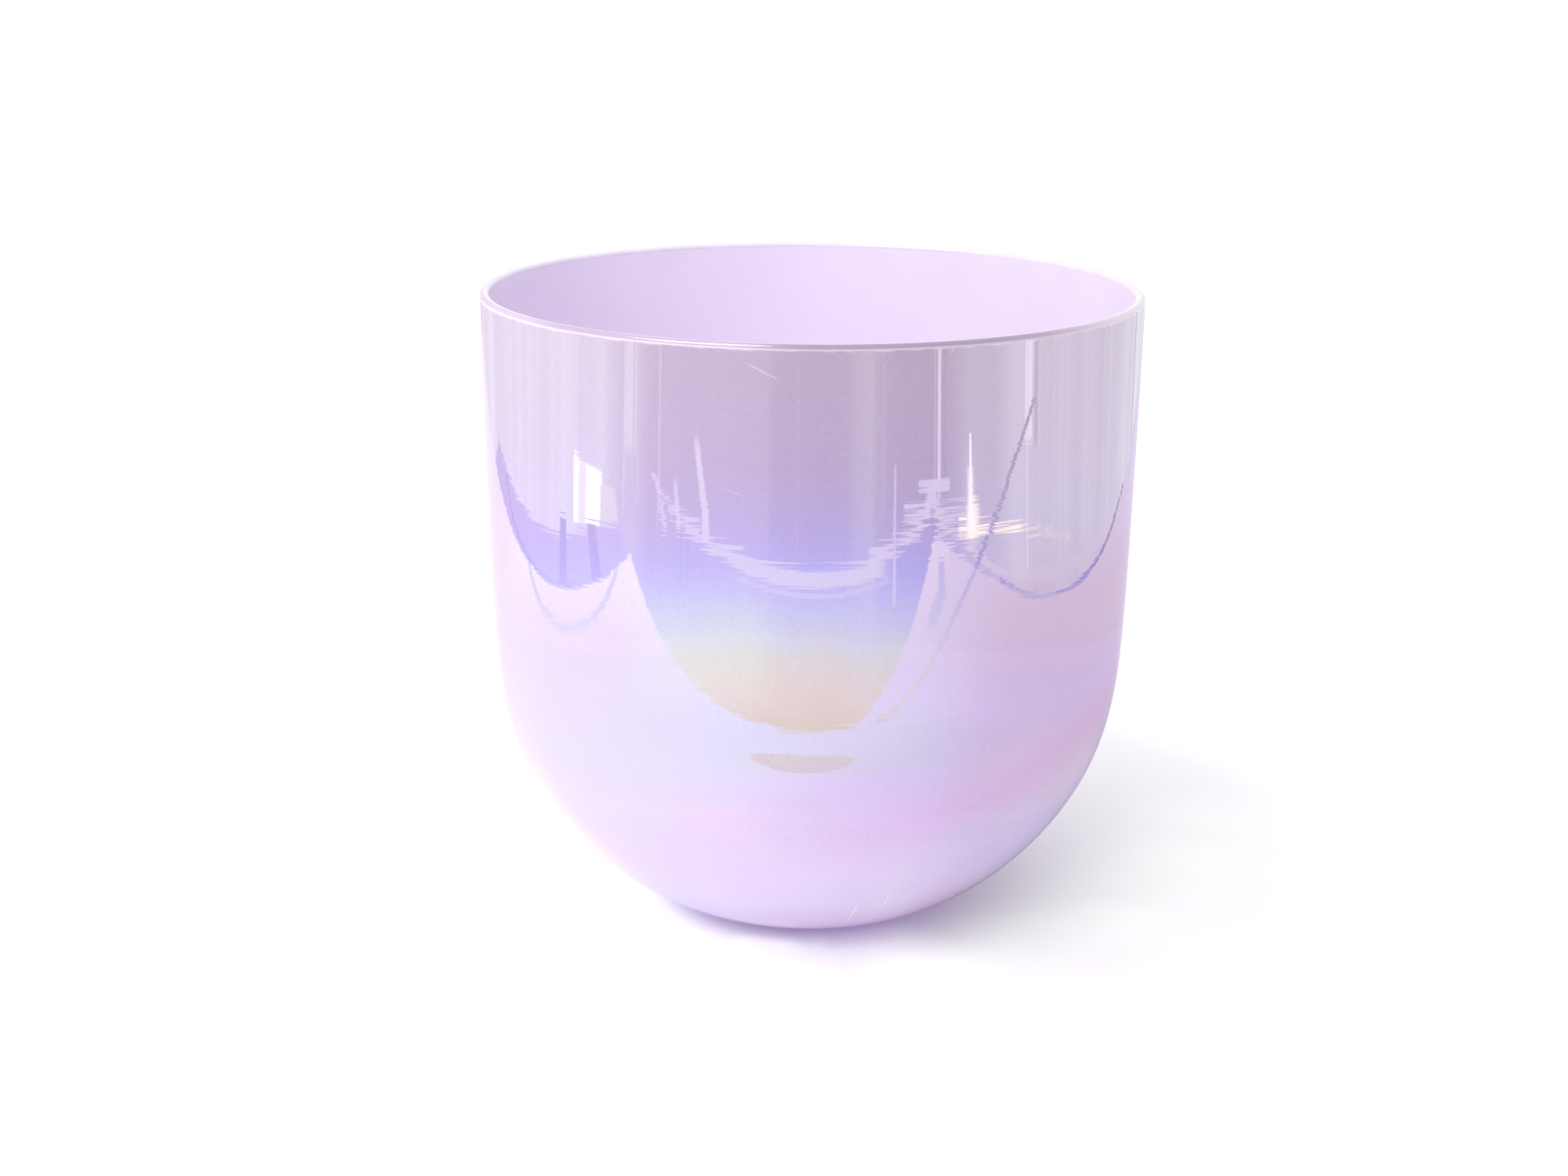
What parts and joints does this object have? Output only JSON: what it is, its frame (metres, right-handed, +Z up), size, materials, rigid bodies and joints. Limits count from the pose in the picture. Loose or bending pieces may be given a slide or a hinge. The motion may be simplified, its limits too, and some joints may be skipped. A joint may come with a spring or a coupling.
{
  "type": "singing bowl",
  "caption": "Deep round singing bowl of clear fused quartz with a bare rounded lip, an opaque lavender lining and a glossy iridescent outer coat, standing on a small flat.",
  "frame": {"origin": "centre of the small flat that the bowl stands on, on the bowl's axis", "axes": "+Z up along the bowl's axis of revolution, mouth up; the bowl is the same all round, and the side the picture shows faces -Y"},
  "size_m": [0.254, 0.254, 0.249],
  "materials": {
    "fused_quartz": "clear, fire-polished, glossy",
    "lavender_lining": "opaque soft satin lavender",
    "iridescent_film": "mirror-gloss interference film over lavender, shifting through violet, blue, cyan, cream and pink"
  },
  "bodies": {
    "root": {"quartz_shell": "fused_quartz", "colour_lining": "lavender_lining", "iridescent_coat": "iridescent_film"}
  },
  "joints": []
}
